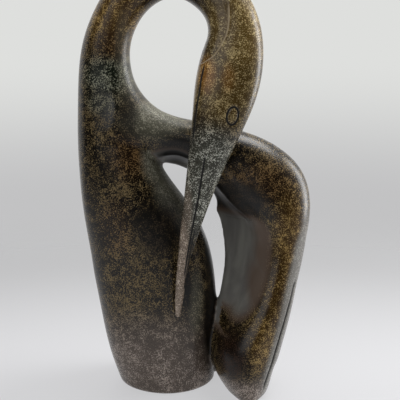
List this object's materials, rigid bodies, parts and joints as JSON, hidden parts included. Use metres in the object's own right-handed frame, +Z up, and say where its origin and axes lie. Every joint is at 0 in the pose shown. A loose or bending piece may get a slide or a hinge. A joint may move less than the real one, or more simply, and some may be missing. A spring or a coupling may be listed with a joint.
{
  "type": "stone crane sculpture",
  "caption": "Carved stone crane preening: broad standing breast, neck arched over an open ring, long bill hanging down the front, and a hollowed wing ending in a tail on the ground.",
  "frame": {"origin": "on the ground, under the middle of the sculpture's box", "axes": "+Z up from the flat underside, -Y to the front that the bill hangs on, +X from the breast towards the wing"},
  "size_m": [0.2054, 0.1022, 0.3817],
  "materials": {
    "speckled_stone": "satin"
  },
  "bodies": {
    "root": {"crane": "speckled_stone"}
  },
  "joints": []
}
